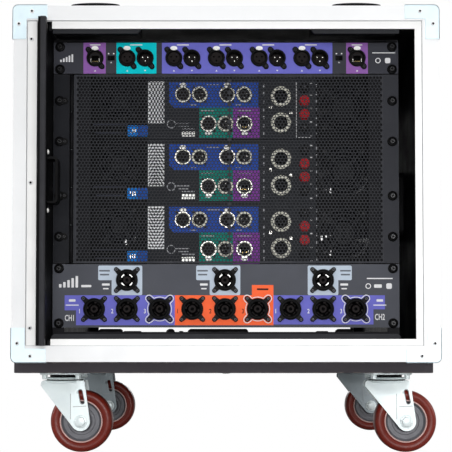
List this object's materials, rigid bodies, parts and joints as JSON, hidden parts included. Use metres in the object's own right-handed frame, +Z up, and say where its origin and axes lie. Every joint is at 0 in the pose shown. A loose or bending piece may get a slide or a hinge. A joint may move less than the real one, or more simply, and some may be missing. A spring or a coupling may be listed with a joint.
{
  "type": "power amplifier rack",
  "caption": "Power amplifiers in a shock-mounted rack inside a touring case on swivel casters, with connector panels, hinged perforated grille and slide-in doors.",
  "frame": {"origin": "on the floor, at the middle of the overall box", "axes": "+Z up, the connector panels face -Y and the amplifier fascias face +Y, +X is to the right seen from the connector side"},
  "size_m": [0.5884, 0.69, 0.616],
  "materials": {
    "case_laminate": "textured black laminate on plywood",
    "door_laminate": "dark grey laminate on thin plywood",
    "edge_aluminium": "satin extruded aluminium",
    "board_paint": "painted plywood, worn at the edges",
    "runner_rubber": "moulded black rubber",
    "mount_rubber": "moulded black rubber",
    "handle_zinc": "bright zinc plate",
    "pull_black": "black powder coat",
    "frame_black": "black powder coat",
    "panel_grey": "dark grey powder coat with coloured printed areas",
    "grille_grey": "dark grey powder coat on perforated steel",
    "chassis_grey": "dark sheet steel with printed areas",
    "circuit_board": "green circuit board",
    "fascia_black": "satin charcoal paint",
    "fan_plastic": "black moulded plastic",
    "button_plastic": "translucent blue-grey plastic",
    "caster_zinc": "bright zinc plate",
    "bolt_steel": "plated steel",
    "wheel_polyurethane": "brick-red polyurethane tread on a grey core"
  },
  "bodies": {
    "case": {"case_floor": "case_laminate", "case_roof": "case_laminate", "case_left_wall": "case_laminate", "case_right_wall": "case_laminate", "front_edge_frame": "edge_aluminium", "rear_edge_frame": "edge_aluminium", "caster_board": "board_paint", "left_stacking_runner": "runner_rubber", "right_stacking_runner": "runner_rubber", "left_handle_dish": "handle_zinc", "right_handle_dish": "handle_zinc", "rack_frame": "frame_black", "shock_mount_1": "mount_rubber", "shock_mount_2": "mount_rubber", "shock_mount_3": "mount_rubber", "shock_mount_4": "mount_rubber", "input_panel": "panel_grey", "output_panel": "panel_grey", "grille_hinge_leaf": "grille_grey", "front_left_caster_plate": "caster_zinc", "front_right_caster_plate": "caster_zinc", "rear_left_caster_plate": "caster_zinc", "rear_right_caster_plate": "caster_zinc", "amp_1_chassis": "chassis_grey", "amp_1_power_module": "circuit_board", "amp_1_fascia": "fascia_black", "amp_2_chassis": "chassis_grey", "amp_2_power_module": "circuit_board", "amp_2_fascia": "fascia_black", "amp_3_chassis": "chassis_grey", "amp_3_power_module": "circuit_board", "amp_3_fascia": "fascia_black"},
    "front_pocket_door": {"front_pocket_door": "door_laminate", "front_door_pull": "pull_black"},
    "rear_pocket_door": {"rear_pocket_door": "door_laminate", "rear_door_pull": "pull_black"},
    "grille_door": {"grille_door": "grille_grey"},
    "left_handle": {"left_handle_bail": "handle_zinc"},
    "right_handle": {"right_handle_bail": "handle_zinc"},
    "front_left_swivel": {"front_left_caster_fork": "caster_zinc", "front_left_caster_axle": "bolt_steel"},
    "front_left_wheel": {"front_left_caster_wheel": "wheel_polyurethane"},
    "front_right_swivel": {"front_right_caster_fork": "caster_zinc", "front_right_caster_axle": "bolt_steel"},
    "front_right_wheel": {"front_right_caster_wheel": "wheel_polyurethane"},
    "rear_left_swivel": {"rear_left_caster_fork": "caster_zinc", "rear_left_caster_axle": "bolt_steel"},
    "rear_left_wheel": {"rear_left_caster_wheel": "wheel_polyurethane"},
    "rear_right_swivel": {"rear_right_caster_fork": "caster_zinc", "rear_right_caster_axle": "bolt_steel"},
    "rear_right_wheel": {"rear_right_caster_wheel": "wheel_polyurethane"},
    "amp_1_left_fan": {"amp_1_left_fan": "fan_plastic"},
    "amp_1_right_fan": {"amp_1_right_fan": "fan_plastic"},
    "amp_1_power_button": {"amp_1_power_button": "button_plastic"},
    "amp_2_left_fan": {"amp_2_left_fan": "fan_plastic"},
    "amp_2_right_fan": {"amp_2_right_fan": "fan_plastic"},
    "amp_2_power_button": {"amp_2_power_button": "button_plastic"},
    "amp_3_left_fan": {"amp_3_left_fan": "fan_plastic"},
    "amp_3_right_fan": {"amp_3_right_fan": "fan_plastic"},
    "amp_3_power_button": {"amp_3_power_button": "button_plastic"}
  },
  "joints": [
    {"name": "front_door_slide", "type": "slide", "parent": "case", "child": "front_pocket_door", "axis": [0, -1, 0], "range_m": [0, 0.45]},
    {"name": "rear_door_slide", "type": "slide", "parent": "case", "child": "rear_pocket_door", "axis": [0, 1, 0], "range_m": [0, 0.45]},
    {"name": "grille_door_hinge", "type": "hinge", "parent": "case", "child": "grille_door", "pos_m": [-0.22323, -0.2595, 0.4], "axis": [0, 0, -1], "range_deg": [0, 90]},
    {"name": "left_handle_pivot", "type": "hinge", "parent": "case", "child": "left_handle", "pos_m": [-0.28423, 0, 0.406], "axis": [0, 1, 0], "range_deg": [0, 90]},
    {"name": "right_handle_pivot", "type": "hinge", "parent": "case", "child": "right_handle", "pos_m": [0.26977, 0, 0.406], "axis": [0, -1, 0], "range_deg": [0, 90]},
    {"name": "front_left_swivel", "type": "hinge", "parent": "case", "child": "front_left_swivel", "pos_m": [-0.23922, -0.198, 0.104], "axis": [0, 0, 1], "continuous": true},
    {"name": "front_left_wheel_spin", "type": "hinge", "parent": "front_left_swivel", "child": "front_left_wheel", "pos_m": [-0.21422, -0.198, 0.04445], "axis": [0, 1, 0], "continuous": true},
    {"name": "front_right_swivel", "type": "hinge", "parent": "case", "child": "front_right_swivel", "pos_m": [0.22478, -0.198, 0.104], "axis": [0, 0, 1], "continuous": true},
    {"name": "front_right_wheel_spin", "type": "hinge", "parent": "front_right_swivel", "child": "front_right_wheel", "pos_m": [0.24977, -0.198, 0.04445], "axis": [0, 1, 0], "continuous": true},
    {"name": "rear_left_swivel", "type": "hinge", "parent": "case", "child": "rear_left_swivel", "pos_m": [-0.23922, 0.198, 0.104], "axis": [0, 0, 1], "continuous": true},
    {"name": "rear_left_wheel_spin", "type": "hinge", "parent": "rear_left_swivel", "child": "rear_left_wheel", "pos_m": [-0.21422, 0.198, 0.04445], "axis": [0, 1, 0], "continuous": true},
    {"name": "rear_right_swivel", "type": "hinge", "parent": "case", "child": "rear_right_swivel", "pos_m": [0.22478, 0.198, 0.104], "axis": [0, 0, 1], "continuous": true},
    {"name": "rear_right_wheel_spin", "type": "hinge", "parent": "rear_right_swivel", "child": "rear_right_wheel", "pos_m": [0.24977, 0.198, 0.04445], "axis": [0, 1, 0], "continuous": true},
    {"name": "amp_1_left_fan_spin", "type": "hinge", "parent": "case", "child": "amp_1_left_fan", "pos_m": [-0.15823, -0.226, 0.3218], "axis": [0, 1, 0], "continuous": true},
    {"name": "amp_1_right_fan_spin", "type": "hinge", "parent": "case", "child": "amp_1_right_fan", "pos_m": [0.15927, -0.226, 0.311], "axis": [0, 1, 0], "continuous": true},
    {"name": "amp_1_power_button_press", "type": "slide", "parent": "case", "child": "amp_1_power_button", "axis": [0, -1, 0], "range_m": [0, 0.003], "stiffness_N_per_m": 400},
    {"name": "amp_2_left_fan_spin", "type": "hinge", "parent": "case", "child": "amp_2_left_fan", "pos_m": [-0.15823, -0.226, 0.4107], "axis": [0, 1, 0], "continuous": true},
    {"name": "amp_2_right_fan_spin", "type": "hinge", "parent": "case", "child": "amp_2_right_fan", "pos_m": [0.15927, -0.226, 0.3999], "axis": [0, 1, 0], "continuous": true},
    {"name": "amp_2_power_button_press", "type": "slide", "parent": "case", "child": "amp_2_power_button", "axis": [0, -1, 0], "range_m": [0, 0.003], "stiffness_N_per_m": 400},
    {"name": "amp_3_left_fan_spin", "type": "hinge", "parent": "case", "child": "amp_3_left_fan", "pos_m": [-0.15823, -0.226, 0.4996], "axis": [0, 1, 0], "continuous": true},
    {"name": "amp_3_right_fan_spin", "type": "hinge", "parent": "case", "child": "amp_3_right_fan", "pos_m": [0.15927, -0.226, 0.4888], "axis": [0, 1, 0], "continuous": true},
    {"name": "amp_3_power_button_press", "type": "slide", "parent": "case", "child": "amp_3_power_button", "axis": [0, -1, 0], "range_m": [0, 0.003], "stiffness_N_per_m": 400}
  ]
}
